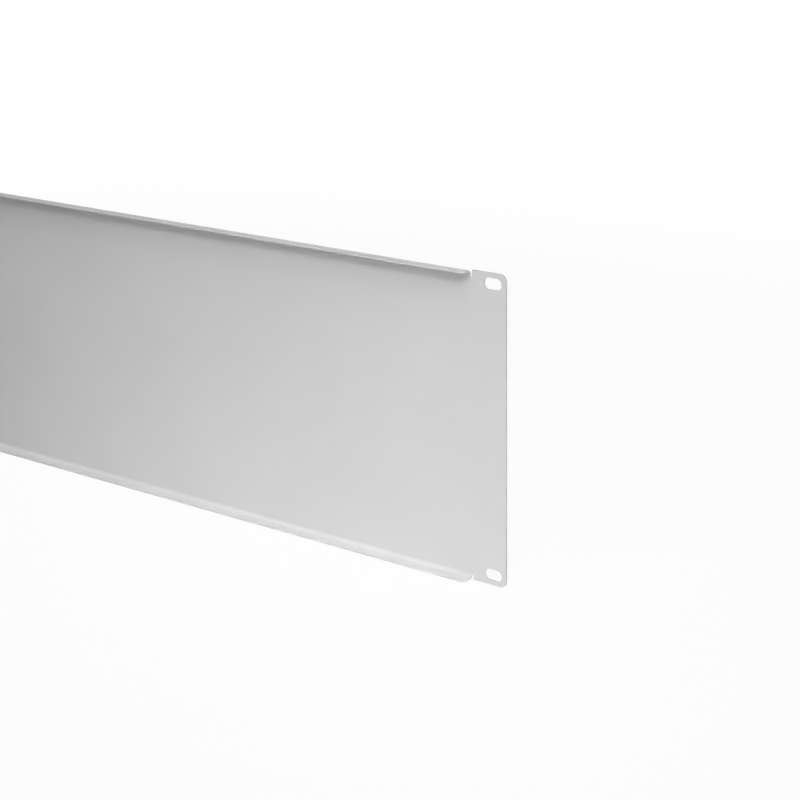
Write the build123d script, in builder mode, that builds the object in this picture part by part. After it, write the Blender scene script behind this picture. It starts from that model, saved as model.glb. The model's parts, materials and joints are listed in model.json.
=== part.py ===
"""Rack blanking panel: one folded steel sheet with slotted ears, in millimetres.

The panel stands upright in the XZ plane. Its front faces -Y, and the rear face of
the ears, which seats on the rack's rails, lies in the plane y = 0.
"""

import os

from build123d import *

# Front face, on the 19-inch rack grid
panel_width = 482.6
rack_units = 4
unit_pitch = 44.45
stacking_gap = 0.8
ear_corner_radius = 4.0

# Sheet and its two folds, with the flange depth measured from the front face
sheet_thickness = 1.2
bend_inner_radius = 2.5
flange_depth = 8.5
flange_end_inset = 23.6

# Straight end of a flange, between the bend and its rounded free corner
flange_end_land = 1.8

# Relief slits that part the folds from the flat ears
relief_width = 1.2
relief_overrun = 0.9

# Screw slots, placed from the panel's end and from its upper or lower edge
slot_length = 11.5
slot_width = 6.4
slot_end_offset = 8.75
slot_edge_offset = 5.95

# Chamfer that deburring leaves along every cut edge
edge_break = 0.2

# Sizes that follow from those above
panel_height = rack_units * unit_pitch - stacking_gap
flange_length = panel_width - 2 * flange_end_inset
bend_outer_radius = bend_inner_radius + sheet_thickness
flange_corner_radius = flange_depth - bend_outer_radius - flange_end_land
relief_depth = bend_outer_radius + relief_overrun
slot_pitch_x = panel_width - 2 * slot_end_offset
slot_pitch_z = panel_height - 2 * slot_edge_offset
front_y = -sheet_thickness
free_edge_y = front_y + flange_depth
top_z = panel_height / 2

with BuildPart() as panel:
    # Channel: the face between the ears and both flanges, bent from one strip
    with BuildSketch(Plane.YZ) as fold_section:
        with BuildLine() as fold_line:
            FilletPolyline(
                (free_edge_y, top_z),
                (front_y, top_z),
                (front_y, -top_z),
                (free_edge_y, -top_z),
                radius=bend_outer_radius,
            )
            offset(amount=sheet_thickness, side=Side.LEFT)
        make_face()
    extrude(amount=flange_length / 2, both=True)

    # Free corners of both flanges
    free_corners = panel.edges().filter_by(Axis.Z).group_by(Axis.Y)[-1]
    fillet(free_corners, radius=flange_corner_radius)

    # Flat blank: the face with ears of full height, open where the sheet is bent
    with BuildSketch(Plane.XZ) as blank:
        Rectangle(panel_width, panel_height)
        fillet(blank.vertices(), radius=ear_corner_radius)
        with GridLocations(0, panel_height, 1, 2):
            Rectangle(flange_length, 2 * bend_outer_radius, mode=Mode.SUBTRACT)
    extrude(amount=sheet_thickness)

    # Relief slits at the ends of both folds, and the screw slots in the ears
    with BuildSketch(Plane.XZ) as openings:
        with GridLocations(flange_length + relief_width, panel_height, 2, 2):
            SlotOverall(2 * relief_depth, relief_width, rotation=90)
        with GridLocations(slot_pitch_x, slot_pitch_z, 2, 2):
            SlotOverall(slot_length, slot_width)
    extrude(amount=sheet_thickness, mode=Mode.SUBTRACT)

    # Deburred cut edges: where a flat runs on smoothly into a bend there is no corner
    chamfer(panel.edges(), length=edge_break)

panel.part.label = "folded_panel"

os.makedirs("parts", exist_ok=True)
export_step(panel.part, "parts/folded_panel.step")
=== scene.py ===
"""Dresses the rack blanking panel: one folded steel sheet under a light grey powder coat."""

import json
import logging
import math
from dataclasses import dataclass
from enum import Enum
from typing import Any

import bmesh
import bpy
from mathutils import Matrix, Vector

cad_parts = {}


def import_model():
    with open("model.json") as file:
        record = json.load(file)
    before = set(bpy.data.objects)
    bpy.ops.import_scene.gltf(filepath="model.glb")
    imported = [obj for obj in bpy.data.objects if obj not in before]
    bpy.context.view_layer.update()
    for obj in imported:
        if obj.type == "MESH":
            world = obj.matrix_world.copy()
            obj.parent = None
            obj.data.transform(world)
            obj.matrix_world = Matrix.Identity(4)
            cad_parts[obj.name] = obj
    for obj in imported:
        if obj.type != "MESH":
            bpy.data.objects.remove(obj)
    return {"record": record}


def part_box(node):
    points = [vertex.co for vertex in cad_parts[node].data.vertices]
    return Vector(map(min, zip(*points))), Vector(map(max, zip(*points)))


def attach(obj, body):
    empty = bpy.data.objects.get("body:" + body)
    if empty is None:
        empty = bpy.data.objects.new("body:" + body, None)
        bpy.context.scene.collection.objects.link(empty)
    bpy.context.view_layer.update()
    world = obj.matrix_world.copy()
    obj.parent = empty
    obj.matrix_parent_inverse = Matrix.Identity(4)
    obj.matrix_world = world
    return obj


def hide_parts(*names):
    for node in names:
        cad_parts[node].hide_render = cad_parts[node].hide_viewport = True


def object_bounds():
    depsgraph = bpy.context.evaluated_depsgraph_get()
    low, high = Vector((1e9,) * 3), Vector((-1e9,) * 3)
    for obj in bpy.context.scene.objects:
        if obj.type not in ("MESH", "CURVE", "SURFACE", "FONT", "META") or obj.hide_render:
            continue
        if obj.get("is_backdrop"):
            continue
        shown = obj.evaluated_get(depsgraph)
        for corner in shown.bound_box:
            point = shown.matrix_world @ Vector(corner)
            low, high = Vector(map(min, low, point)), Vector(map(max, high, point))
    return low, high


LOG = logging.getLogger("blanking_panel")

MM = 0.001
PANEL_NODE = "folded_panel"
PANEL_BODY = "root"
SLOT_MOUNT = "rack_slots"
CUT_EDGE = "cut_edge"

QUARTER_TURN = 90.0
HALF_TURN = 180.0
PANEL_CENTRE = (0.0, 0.0, 0.0)
ALONG_PANEL = (1.0, 0.0, 0.0)
TO_FRONT = (0.0, -1.0, 0.0)
TO_REAR = (0.0, 1.0, 0.0)
WHITE = (1.0, 1.0, 1.0, 1.0)

# Factor that leaves a value as it is
UNCHANGED = 1.0

# Value of the cut_edge attribute on a cut edge, and its reach over the whole sheet
MARKED = 1.0
MARK_REACH = (0.0, MARKED)

# Range that most of a noise pattern's values lie in
PATTERN_REACH = (0.3, 0.7)

# Bevels are round, and take the material of the faces beside them
ROUND_PROFILE = 0.5
SAME_MATERIAL = -1

# Rows of a matrix that turns and places an object
PLACING_ROWS = 4

# Spread of a lamp with a grid in front of it, in degrees
GRID_SPREAD = 35.0


class Axis(Enum):
    """The axes that the panel is mirrored along and the camera is turned about."""

    ALONG = "X"
    UP = "Z"


class Turn(Enum):
    """Which way an arc runs, seen from the panel's front: the axis that it turns about."""

    LEFT = TO_FRONT
    RIGHT = TO_REAR


class NodeKind(Enum):
    """Shader nodes that the finishes here are made of."""

    ATTRIBUTE = "ShaderNodeAttribute"
    BACKGROUND = "ShaderNodeBackground"
    BUMP = "ShaderNodeBump"
    COORDINATES = "ShaderNodeTexCoord"
    DIFFUSE = "ShaderNodeBsdfDiffuse"
    EMISSION = "ShaderNodeEmission"
    LIGHT_PATH = "ShaderNodeLightPath"
    MAP_RANGE = "ShaderNodeMapRange"
    MATH = "ShaderNodeMath"
    MIX_SHADER = "ShaderNodeMixShader"
    NOISE = "ShaderNodeTexNoise"
    OUTPUT = "ShaderNodeOutputMaterial"
    PRINCIPLED = "ShaderNodeBsdfPrincipled"
    VECTOR_MATH = "ShaderNodeVectorMath"
    WORLD_OUTPUT = "ShaderNodeOutputWorld"


class Operation(Enum):
    """What a math node does with its values."""

    ADD = "ADD"
    LARGER = "MAXIMUM"
    LENGTH = "LENGTH"
    MULTIPLY = "MULTIPLY"
    SCALE = "SCALE"


class Blend(Enum):
    """How a mapped value runs from its low end to its high end."""

    EVEN = "LINEAR"
    SOFT = "SMOOTHSTEP"


def stand(name: str, data: bpy.types.ID) -> bpy.types.Object:
    """Stands an object in the scene.

    Args:
        name: its name.
        data: its mesh, lamp or camera.

    Returns:
        The new object, at the origin.
    """
    item = bpy.data.objects.new(name, data)
    bpy.context.scene.collection.objects.link(item)
    return item


def stand_mesh(name: str, bm: bmesh.types.BMesh, finish: bpy.types.Material) -> bpy.types.Object:
    """Stands a modelled shape in the scene.

    Args:
        name: its name.
        bm: the shape, which is freed.
        finish: its material.

    Returns:
        The new object, at the origin.
    """
    mesh = bpy.data.meshes.new(name)
    bm.to_mesh(mesh)
    bm.free()
    mesh.materials.append(finish)
    return stand(name, mesh)


@dataclass
class NodeBoard:
    """A node tree that is being wired up."""

    tree: bpy.types.NodeTree

    @classmethod
    def blank(cls, owner: bpy.types.Material | bpy.types.World) -> "NodeBoard":
        """Gives a material or a world an empty node tree.

        Args:
            owner: the material or world.

        Returns:
            The board that its nodes go on.
        """
        owner.use_nodes = True
        owner.node_tree.nodes.clear()
        return cls(owner.node_tree)

    def add(self, kind: NodeKind, **settings: Any) -> bpy.types.Node:
        """Adds a node.

        Args:
            kind: which node.
            settings: the node's own properties.

        Returns:
            The new node.
        """
        node = self.tree.nodes.new(kind.value)
        for name, value in settings.items():
            setattr(node, name, value)
        return node

    def wire(self, start: bpy.types.NodeSocket, end: bpy.types.NodeSocket) -> None:
        """Links two sockets."""
        self.tree.links.new(start, end)

    def show(self, shader: bpy.types.NodeSocket, output: NodeKind = NodeKind.OUTPUT) -> None:
        """Wires a shader to an output of its own."""
        self.wire(shader, self.add(output).inputs["Surface"])

    def object_place(self) -> bpy.types.NodeSocket:
        """Adds object coordinates, which are metres in the part's own frame."""
        return self.add(NodeKind.COORDINATES).outputs["Object"]

    def noise(self, place: bpy.types.NodeSocket, size: float, octaves: float) -> bpy.types.NodeSocket:
        """Adds a noise pattern.

        Args:
            place: the coordinates that it reads.
            size: how wide one blotch of it is, in metres.
            octaves: how many finer layers it has.

        Returns:
            Its value, about 0 to 1.
        """
        node = self.add(NodeKind.NOISE)
        node.inputs["Scale"].default_value = 1.0 / size
        node.inputs["Detail"].default_value = octaves
        self.wire(place, node.inputs["Vector"])
        return node.outputs["Fac"]

    def rescale(
        self,
        value: bpy.types.NodeSocket,
        reach: tuple[float, float],
        low: float,
        high: float,
        blend: Blend = Blend.EVEN,
    ) -> bpy.types.NodeSocket:
        """Maps a value's reach onto new limits.

        Args:
            value: the value.
            reach: its lowest and highest value.
            low: what the lowest becomes.
            high: what the highest becomes.
            blend: how it runs between the two.

        Returns:
            The mapped value.
        """
        node = self.add(NodeKind.MAP_RANGE, interpolation_type=blend.value)
        node.inputs["From Min"].default_value = reach[0]
        node.inputs["From Max"].default_value = reach[1]
        node.inputs["To Min"].default_value = low
        node.inputs["To Max"].default_value = high
        self.wire(value, node.inputs["Value"])
        return node.outputs["Result"]

    def sway(self, pattern: bpy.types.NodeSocket, middle: float, swing: float) -> bpy.types.NodeSocket:
        """Turns a noise pattern into a value that sways by a swing to either side of its middle."""
        return self.rescale(pattern, PATTERN_REACH, middle - swing, middle + swing)

    def bump(self, height: bpy.types.NodeSocket) -> bpy.types.NodeSocket:
        """Raises a surface.

        Args:
            height: how far, in metres.

        Returns:
            The bumped normal.
        """
        node = self.add(NodeKind.BUMP)
        node.inputs["Distance"].default_value = UNCHANGED
        self.wire(height, node.inputs["Height"])
        return node.outputs["Normal"]

    def combine(
        self,
        operation: Operation,
        first: bpy.types.NodeSocket,
        second: bpy.types.NodeSocket | float,
    ) -> bpy.types.NodeSocket:
        """Combines two values.

        Args:
            operation: how they are combined.
            first: a value.
            second: another value, or a number.

        Returns:
            The result.
        """
        node = self.add(NodeKind.MATH, operation=operation.value)
        self.wire(first, node.inputs[0])
        if isinstance(second, float):
            node.inputs[1].default_value = second
        else:
            self.wire(second, node.inputs[1])
        return node.outputs["Value"]

    def mix(
        self,
        share: bpy.types.NodeSocket,
        first: bpy.types.NodeSocket,
        second: bpy.types.NodeSocket,
    ) -> bpy.types.NodeSocket:
        """Mixes two shaders.

        Args:
            share: the second shader's share, 0 to 1.
            first: a shader.
            second: another shader.

        Returns:
            The mixed shader.
        """
        node = self.add(NodeKind.MIX_SHADER)
        for source, socket in zip((share, first, second), node.inputs):
            self.wire(source, socket)
        return node.outputs["Shader"]

    def seen_directly(self) -> bpy.types.NodeSocket:
        """Tells rays that see a surface from light that it only throws on things.

        Returns:
            1 on rays from the camera, a mirror or glass, and otherwise 0.
        """
        path = self.add(NodeKind.LIGHT_PATH).outputs
        mirrored = self.combine(Operation.LARGER, path["Is Glossy Ray"], path["Is Transmission Ray"])
        return self.combine(Operation.LARGER, path["Is Camera Ray"], mirrored)


@dataclass(frozen=True)
class PowderCoat:
    """A satin powder coat: orange peel, a finer grain, a faint drift of tone, and painted shade on cut
    edges.
    """

    tone: tuple[float, float, float] = (0.60, 0.60, 0.60)
    # Share of the colour left on cut edges: painted shade that darkens them
    painted_edge_shade: float = 0.92
    tone_drift: float = 0.015
    drift_size: float = 70 * MM
    drift_octaves: float = 3.0
    speckle: float = 0.03
    roughness: float = 0.60
    roughness_drift: float = 0.05
    gloss_patch_size: float = 17.5 * MM
    gloss_octaves: float = 4.0
    specular_level: float = 0.25
    peel_size: float = 2.2 * MM
    peel_octaves: float = 1.0
    peel_height: float = 0.025 * MM
    grain_size: float = 0.45 * MM
    grain_octaves: float = 2.0
    grain_height: float = 0.012 * MM

    def material(self) -> bpy.types.Material:
        """Builds the coat.

        Returns:
            The material, which reads object coordinates and the panel's cut_edge attribute.
        """
        coat = bpy.data.materials.new("grey_powder_coat")
        board = NodeBoard.blank(coat)
        place = board.object_place()
        shader = board.add(NodeKind.PRINCIPLED)
        shader.inputs["Specular IOR Level"].default_value = self.specular_level
        board.wire(self._colour(board, place), shader.inputs["Base Color"])
        board.wire(self._roughness(board, place), shader.inputs["Roughness"])
        board.wire(self._relief(board, place), shader.inputs["Normal"])
        board.show(shader.outputs["BSDF"])
        return coat

    def _colour(self, board: NodeBoard, place: bpy.types.NodeSocket) -> bpy.types.NodeSocket:
        """Lets the coat's tone drift over the panel, speckles it, and paints shade on its cut edges.

        Args:
            board: the coat's nodes.
            place: object coordinates.

        Returns:
            The colour.
        """
        clouds = board.noise(place, self.drift_size, self.drift_octaves)
        specks = board.noise(place, self.grain_size, self.grain_octaves)
        drift = board.sway(clouds, UNCHANGED, self.tone_drift)
        speckle = board.sway(specks, UNCHANGED, self.speckle)
        edge = board.add(NodeKind.ATTRIBUTE, attribute_name=CUT_EDGE)
        # Painted shade: the colour is darkened on the cut edges
        edge_shade = board.rescale(edge.outputs["Fac"], MARK_REACH, UNCHANGED, self.painted_edge_shade)
        powder = board.combine(Operation.MULTIPLY, drift, speckle)
        shade = board.combine(Operation.MULTIPLY, powder, edge_shade)
        tinted = board.add(NodeKind.VECTOR_MATH, operation=Operation.SCALE.value)
        tinted.inputs["Vector"].default_value = self.tone
        board.wire(shade, tinted.inputs["Scale"])
        return tinted.outputs["Vector"]

    def _roughness(self, board: NodeBoard, place: bpy.types.NodeSocket) -> bpy.types.NodeSocket:
        """Varies the gloss a little over the panel."""
        patches = board.noise(place, self.gloss_patch_size, self.gloss_octaves)
        return board.sway(patches, self.roughness, self.roughness_drift)

    def _relief(self, board: NodeBoard, place: bpy.types.NodeSocket) -> bpy.types.NodeSocket:
        """Raises the orange peel and the powder's finer grain.

        Args:
            board: the coat's nodes.
            place: object coordinates.

        Returns:
            The bumped normal.
        """
        waves = board.noise(place, self.peel_size, self.peel_octaves)
        specks = board.noise(place, self.grain_size, self.grain_octaves)
        peel = board.combine(Operation.MULTIPLY, waves, self.peel_height)
        grain = board.combine(Operation.MULTIPLY, specks, self.grain_height)
        return board.bump(board.combine(Operation.ADD, peel, grain))


@dataclass
class Outline:
    """A closed outline of edges at one depth of the sheet, drawn point by point and arc by arc."""

    bm: bmesh.types.BMesh
    y: float
    first: bmesh.types.BMVert | None = None
    last: bmesh.types.BMVert | None = None

    def start(self, x: float, z: float) -> None:
        """Puts the outline's first point."""
        self.first = self.last = self.bm.verts.new((x, self.y, z))

    def line(self, x: float, z: float) -> None:
        """Draws a straight edge from the last point.

        Args:
            x: where it ends along the panel.
            z: where it ends up the panel.
        """
        point = self.bm.verts.new((x, self.y, z))
        self.bm.edges.new((self.last, point))
        self.last = point

    def arc(self, centre_x: float, centre_z: float, angle: float, turn: Turn, steps: int) -> None:
        """Draws an arc from the last point.

        Args:
            centre_x: the arc's centre along the panel.
            centre_z: the arc's centre up the panel.
            angle: how far it runs, in degrees.
            turn: which way it runs.
            steps: how many edges it has.
        """
        swept = bmesh.ops.spin(
            self.bm,
            geom=[self.last],
            cent=(centre_x, self.y, centre_z),
            axis=turn.value,
            angle=math.radians(angle),
            steps=steps,
        )
        self.last = next(part for part in swept["geom_last"] if isinstance(part, bmesh.types.BMVert))

    def close(self) -> None:
        """Draws the edge back to the first point."""
        self.bm.edges.new((self.last, self.first))


@dataclass
class FoldedPanel:
    """The sheet: a face with slotted ears, two folded flanges and their relief slits, in metres."""

    width: float
    height: float
    front_y: float
    free_edge_y: float
    slot_pitch_x: float
    slot_pitch_z: float
    slot_length: float
    slot_width: float
    bend_inner_radius: float = 2.5 * MM
    flange_end_inset: float = 23.6 * MM
    flange_end_land: float = 1.8 * MM
    relief_width: float = 1.2 * MM
    relief_overrun: float = 0.9 * MM
    ear_corner_radius: float = 4.0 * MM
    edge_break: float = 0.2 * MM
    bend_steps: int = 20
    corner_steps: int = 14
    slot_end_steps: int = 28
    slit_end_steps: int = 6
    edge_break_steps: int = 2
    sharp_angle: float = 40.0
    weld_distance: float = 0.001 * MM

    @classmethod
    def from_frame(cls, record: dict[str, Any]) -> "FoldedPanel":
        """Takes the sheet's reach from its CAD node and the slots from their mount.

        Args:
            record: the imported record.

        Returns:
            The panel, ready to build.
        """
        low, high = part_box(PANEL_NODE)
        dims = next(mount["dims"] for mount in record["mounts"] if mount["name"] == SLOT_MOUNT)
        return cls(
            width=high.x - low.x,
            height=high.z - low.z,
            front_y=low.y,
            free_edge_y=high.y,
            slot_pitch_x=dims["spacing_x_mm"] * MM,
            slot_pitch_z=dims["spacing_y_mm"] * MM,
            slot_length=dims["slot_length_mm"] * MM,
            slot_width=2 * dims["hole_r_mm"] * MM,
        )

    @property
    def thickness(self) -> float:
        """The sheet's thickness: the ears' rear face lies at y = 0."""
        return -self.front_y

    @property
    def bend_outer_radius(self) -> float:
        """The folds' radius on the outside of the sheet."""
        return self.bend_inner_radius + self.thickness

    @property
    def flange_end_x(self) -> float:
        """Where the flanges end along the panel."""
        return self.width / 2 - self.flange_end_inset

    @property
    def bend_line_z(self) -> float:
        """How high the flat face runs before it bends."""
        return self.height / 2 - self.bend_outer_radius

    def build(self, coat: bpy.types.Material) -> bpy.types.Object:
        """Models the sheet the way it is made: cut, folded and deburred.

        Args:
            coat: the finish.

        Returns:
            The panel's object, which stands for the CAD node.
        """
        bm = bmesh.new()
        self._cut_ear_and_face(bm)
        self._cut_slot(bm)
        bmesh.ops.triangle_fill(bm, edges=bm.edges[:], use_beauty=True, normal=TO_FRONT)
        self._fold_flange(bm)
        self._mirror_quarter(bm)
        self._thicken(bm)
        self._break_edges(bm)
        panel = stand_mesh("coated_panel", bm, coat)
        panel.data.shade_smooth()
        panel.modifiers.new("flat_faces_stay_flat", "WEIGHTED_NORMAL")
        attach(panel, PANEL_BODY)
        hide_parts(PANEL_NODE)
        return panel

    def _cut_ear_and_face(self, bm: bmesh.types.BMesh) -> None:
        """Draws the flat upper right quarter of the front skin, with its ear and relief slit.

        Args:
            bm: the mesh that it is drawn in.
        """
        top = self.height / 2
        end = self.width / 2
        corner = self.ear_corner_radius
        slit_radius = self.relief_width / 2
        slit_x = self.flange_end_x + slit_radius
        slit_z = self.bend_line_z - self.relief_overrun + slit_radius
        outline = Outline(bm, self.front_y)
        outline.start(0.0, 0.0)
        outline.line(end, 0.0)
        outline.line(end, top - corner)
        outline.arc(end - corner, top - corner, QUARTER_TURN, Turn.LEFT, self.corner_steps)
        outline.line(slit_x + slit_radius, top)
        outline.line(slit_x + slit_radius, slit_z)
        outline.arc(slit_x, slit_z, HALF_TURN, Turn.RIGHT, self.slit_end_steps)
        outline.line(self.flange_end_x, self.bend_line_z)
        outline.line(0.0, self.bend_line_z)
        outline.close()

    def _cut_slot(self, bm: bmesh.types.BMesh) -> None:
        """Draws the screw slot in the quarter's ear.

        Args:
            bm: the mesh that it is drawn in.
        """
        radius = self.slot_width / 2
        reach = self.slot_length / 2 - radius
        slot_x = self.slot_pitch_x / 2
        slot_z = self.slot_pitch_z / 2
        slot = Outline(bm, self.front_y)
        slot.start(slot_x + reach, slot_z - radius)
        slot.arc(slot_x + reach, slot_z, HALF_TURN, Turn.LEFT, self.slot_end_steps)
        slot.line(slot_x - reach, slot_z + radius)
        slot.arc(slot_x - reach, slot_z, HALF_TURN, Turn.LEFT, self.slot_end_steps)
        slot.close()

    def _fold_flange(self, bm: bmesh.types.BMesh) -> None:
        """Bends the quarter's upper edge to the rear and rounds the flange's free corner.

        Args:
            bm: the flat quarter.
        """
        bend_line = [
            edge
            for edge in bm.edges
            if all(self._is_on_bend_line(vert) for vert in edge.verts)
        ]
        bent = bmesh.ops.spin(
            bm,
            geom=bend_line,
            cent=(0.0, self.front_y + self.bend_outer_radius, self.bend_line_z),
            axis=ALONG_PANEL,
            angle=-math.radians(QUARTER_TURN),
            steps=self.bend_steps,
        )
        root = [part for part in bent["geom_last"] if isinstance(part, bmesh.types.BMEdge)]
        drawn = bmesh.ops.extrude_edge_only(bm, edges=root)
        tip = [part for part in drawn["geom"] if isinstance(part, bmesh.types.BMVert)]
        flat = self.free_edge_y - self.front_y - self.bend_outer_radius
        bmesh.ops.translate(bm, verts=tip, vec=(0.0, flat, 0.0))
        bmesh.ops.bevel(
            bm,
            geom=[max(tip, key=lambda vert: vert.co.x)],
            offset=flat - self.flange_end_land,
            offset_type="OFFSET",
            affect="VERTICES",
            segments=self.corner_steps,
            profile=ROUND_PROFILE,
            material=SAME_MATERIAL,
        )

    def _is_on_bend_line(self, vert: bmesh.types.BMVert) -> bool:
        """Tells whether a point of the flat quarter lies on the line where the flange bends."""
        near = abs(vert.co.z - self.bend_line_z) < self.weld_distance
        return near and vert.co.x < self.flange_end_x + self.weld_distance

    def _mirror_quarter(self, bm: bmesh.types.BMesh) -> None:
        """Completes the front skin from its quarter, with every face turned outwards.

        Args:
            bm: the folded quarter.
        """
        for axis in Axis:
            skin = bm.verts[:] + bm.edges[:] + bm.faces[:]
            bmesh.ops.mirror(bm, geom=skin, merge_dist=self.weld_distance, axis=axis.value)
        bmesh.ops.remove_doubles(bm, verts=bm.verts[:], dist=self.weld_distance)
        bmesh.ops.recalc_face_normals(bm, faces=bm.faces[:])
        # The skin is open, so its recalculated faces may all point to the rear
        largest = max(bm.faces, key=lambda face: face.calc_area())
        if largest.normal.y > 0.0:
            bmesh.ops.reverse_faces(bm, faces=bm.faces[:])

    def _thicken(self, bm: bmesh.types.BMesh) -> None:
        """Gives the front skin the sheet's thickness, towards the rear."""
        bmesh.ops.solidify(bm, geom=bm.faces[:], thickness=self.thickness)
        bmesh.ops.remove_doubles(bm, verts=bm.verts[:], dist=self.weld_distance)

    def _break_edges(self, bm: bmesh.types.BMesh) -> None:
        """Breaks the cut edges, and marks them for the painted shade that darkens their colour.

        Args:
            bm: the sheet.
        """
        cut_edge = bm.faces.layers.float.new(CUT_EDGE)
        limit = math.radians(self.sharp_angle)
        sharp = [edge for edge in bm.edges if edge.is_manifold and edge.calc_face_angle() > limit]
        broken = bmesh.ops.bevel(
            bm,
            geom=sharp,
            offset=self.edge_break,
            offset_type="OFFSET",
            affect="EDGES",
            segments=self.edge_break_steps,
            profile=ROUND_PROFILE,
            material=SAME_MATERIAL,
        )
        # The marked faces get painted shade in the coat's colour
        for face in broken["faces"]:
            face[cut_edge] = MARKED


@dataclass(frozen=True)
class StudioFloor:
    """A wide pale floor that fades into the white background, in metres."""

    level: float
    reach: float = 6.0
    tone: float = 0.75
    tone_drift: float = 0.01
    fibre_size: float = 1.5 * MM
    fibre_octaves: float = 3.0
    fibre_height: float = 0.04 * MM
    near_white: float = 0.93
    far_white: float = 1.0
    fade_start: float = 0.5
    fade_end: float = 1.3

    def build(self) -> bpy.types.Object:
        """Lays the floor.

        Returns:
            The floor's object, marked as stage.
        """
        bm = bmesh.new()
        level = Matrix.Translation((0.0, 0.0, self.level))
        bmesh.ops.create_grid(bm, x_segments=1, y_segments=1, size=self.reach, matrix=level)
        floor = stand_mesh("studio_floor", bm, self._material())
        floor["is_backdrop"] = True
        return floor

    def _material(self) -> bpy.types.Material:
        """Builds the floor's paper: matt and fibrous near the panel, white further out.

        Returns:
            The material.
        """
        paper = bpy.data.materials.new("floor_paper")
        board = NodeBoard.blank(paper)
        place = board.object_place()
        fibres = board.noise(place, self.fibre_size, self.fibre_octaves)
        relief = board.combine(Operation.MULTIPLY, fibres, self.fibre_height)
        matt = board.add(NodeKind.DIFFUSE)
        board.wire(board.sway(fibres, self.tone, self.tone_drift), matt.inputs["Color"])
        board.wire(board.bump(relief), matt.inputs["Normal"])
        white = board.add(NodeKind.EMISSION)
        white.inputs["Color"].default_value = WHITE
        distance = board.add(NodeKind.VECTOR_MATH, operation=Operation.LENGTH.value)
        board.wire(place, distance.inputs["Vector"])
        fade_reach = (self.fade_start, self.fade_end)
        fade = board.rescale(
            distance.outputs["Value"], fade_reach, self.near_white, self.far_white, Blend.SOFT
        )
        share = board.combine(Operation.MULTIPLY, board.seen_directly(), fade)
        board.show(board.mix(share, matt.outputs["BSDF"], white.outputs["Emission"]))
        return paper


@dataclass(frozen=True)
class SoftBox:
    """A soft rectangular lamp, in metres, watts and degrees; a grid in front of it narrows its spread."""

    name: str
    place: tuple[float, float, float]
    aim: tuple[float, float, float]
    width: float
    height: float
    power: float
    spread: float = HALF_TURN

    def hang(self) -> bpy.types.Object:
        """Hangs the lamp in the scene, turned to what it aims at.

        Returns:
            The lamp's object, which the camera doesn't see.
        """
        lamp = bpy.data.lights.new(self.name, "AREA")
        lamp.shape = "RECTANGLE"
        lamp.size = self.width
        lamp.size_y = self.height
        lamp.energy = self.power
        lamp.spread = math.radians(self.spread)
        box = stand(self.name, lamp)
        box.visible_camera = False
        box.location = self.place
        box.rotation_euler = (Vector(self.aim) - Vector(self.place)).to_track_quat("-Z", "Y").to_euler()
        return box


@dataclass(frozen=True)
class StudioLight:
    """Plain soft light: an even surround, a white backdrop and a few soft boxes."""

    boxes: tuple[SoftBox, ...]
    surround: float = 0.05
    backdrop: float = 1.0

    def build(self) -> list[bpy.types.Object]:
        """Lights the scene.

        Returns:
            The lamps.
        """
        world = bpy.data.worlds.new("white_surround")
        board = NodeBoard.blank(world)
        dim = self._glow(board, self.surround)
        white = self._glow(board, self.backdrop)
        board.show(board.mix(board.seen_directly(), dim, white), NodeKind.WORLD_OUTPUT)
        bpy.context.scene.world = world
        return [box.hang() for box in self.boxes]

    @staticmethod
    def _glow(board: NodeBoard, strength: float) -> bpy.types.NodeSocket:
        """Adds an even white glow from all around.

        Args:
            board: the world's nodes.
            strength: how strong it is, where 1 is white.

        Returns:
            The glow's shader.
        """
        node = board.add(NodeKind.BACKGROUND)
        node.inputs["Color"].default_value = WHITE
        node.inputs["Strength"].default_value = strength
        return node.outputs["Background"]


@dataclass(frozen=True)
class StudioCamera:
    """A camera, placed in metres and turned in degrees, with its lens and sensor in millimetres."""

    place: tuple[float, float, float]
    heading: float
    tilt: float
    roll: float
    lens: float
    sensor: float = 36.0

    def build(self) -> bpy.types.Object:
        """Sets the camera up.

        Returns:
            The camera's object, made the scene's camera.
        """
        data = bpy.data.cameras.new("studio_camera")
        data.lens = self.lens
        data.sensor_width = self.sensor
        data.sensor_fit = "HORIZONTAL"
        camera = stand("studio_camera", data)
        heading = self._turned(self.heading, Axis.UP)
        tilt = self._turned(QUARTER_TURN - self.tilt, Axis.ALONG)
        roll = self._turned(self.roll, Axis.UP)
        camera.matrix_world = Matrix.Translation(self.place) @ (heading @ tilt @ roll)
        bpy.context.scene.camera = camera
        return camera

    @staticmethod
    def _turned(angle: float, axis: Axis) -> Matrix:
        """Returns the turn by an angle in degrees about an axis."""
        return Matrix.Rotation(math.radians(angle), PLACING_ROWS, axis.value)


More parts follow.
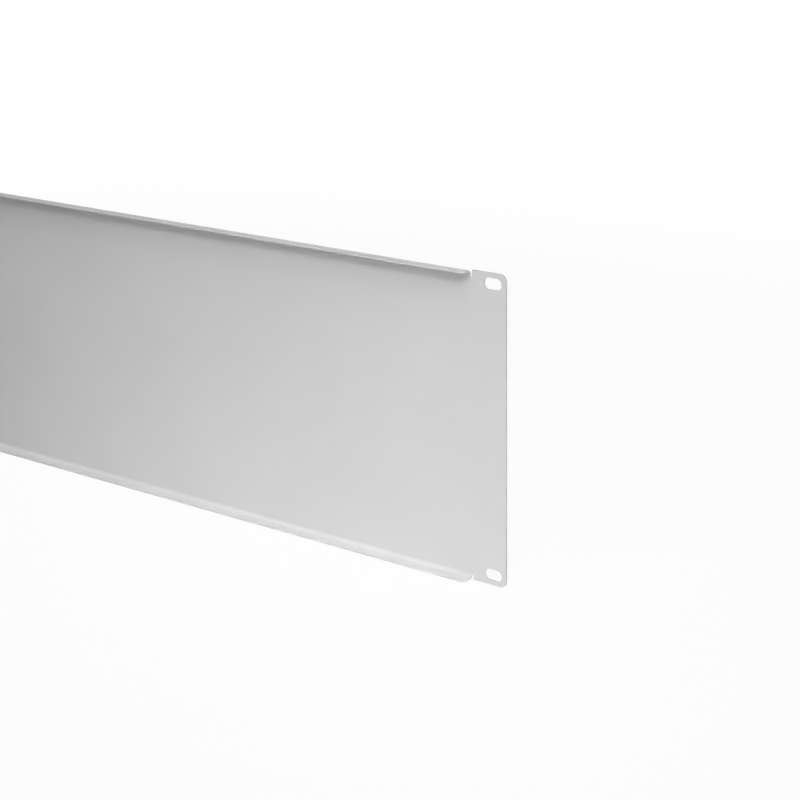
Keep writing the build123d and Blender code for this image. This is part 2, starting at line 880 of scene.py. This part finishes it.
# Behind the panel, past its near end and above it
PHOTO_CAMERA = StudioCamera(
    place=(-0.8508, 0.8378, 0.3356),
    heading=219.17,
    tilt=16.91,
    roll=-0.94,
    lens=91.05,
)

# Two large boxes light the whole panel, three small ones with a grid lift its lower part,
# and one fills the front
SOFT_BOXES = (
    SoftBox(
        name="key_box",
        place=(-1.3, 1.2, 3.2),
        aim=PANEL_CENTRE,
        width=1.6,
        height=1.6,
        power=59.0,
    ),
    SoftBox(
        name="rear_box",
        place=(-0.2, 3.1, 1.8),
        aim=PANEL_CENTRE,
        width=1.6,
        height=1.6,
        power=13.0,
    ),
    SoftBox(
        name="far_end_box",
        place=(0.2, 0.9, 0.9),
        aim=(0.0, 0.0, -0.09),
        width=0.4,
        height=0.4,
        power=0.19,
        spread=GRID_SPREAD,
    ),
    SoftBox(
        name="near_end_box",
        place=(-0.85, 0.75, 0.75),
        aim=(-0.2, 0.0, -0.09),
        width=0.3,
        height=0.3,
        power=0.28,
        spread=GRID_SPREAD,
    ),
    SoftBox(
        name="low_box",
        place=(-0.95, 0.85, 0.25),
        aim=(-0.22, 0.0, -0.07),
        width=0.3,
        height=0.3,
        power=0.16,
        spread=GRID_SPREAD,
    ),
    SoftBox(
        name="front_fill_box",
        place=(0.2, -1.4, 0.0),
        aim=PANEL_CENTRE,
        width=1.2,
        height=0.4,
        power=20.0,
    ),
)


def main() -> None:
    """Builds the panel, the floor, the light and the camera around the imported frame."""
    logging.basicConfig(level=logging.INFO, format="%(name)s: %(message)s")
    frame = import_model()
    cad_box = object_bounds()
    bpy.context.scene.view_settings.view_transform = "Standard"

    panel = FoldedPanel.from_frame(frame["record"]).build(PowderCoat().material())
    LOG.info("%s: %d faces", panel.name, len(panel.data.polygons))
    floor = StudioFloor(level=cad_box[0].z).build()
    LOG.info("%s at %.4f m", floor.name, cad_box[0].z)
    for lamp in StudioLight(SOFT_BOXES).build():
        LOG.info("%s: %.2f W", lamp.name, lamp.data.energy)
    camera = PHOTO_CAMERA.build()
    LOG.info("%s: %.2f mm lens", camera.name, camera.data.lens)


if __name__ == "__main__":
    main()
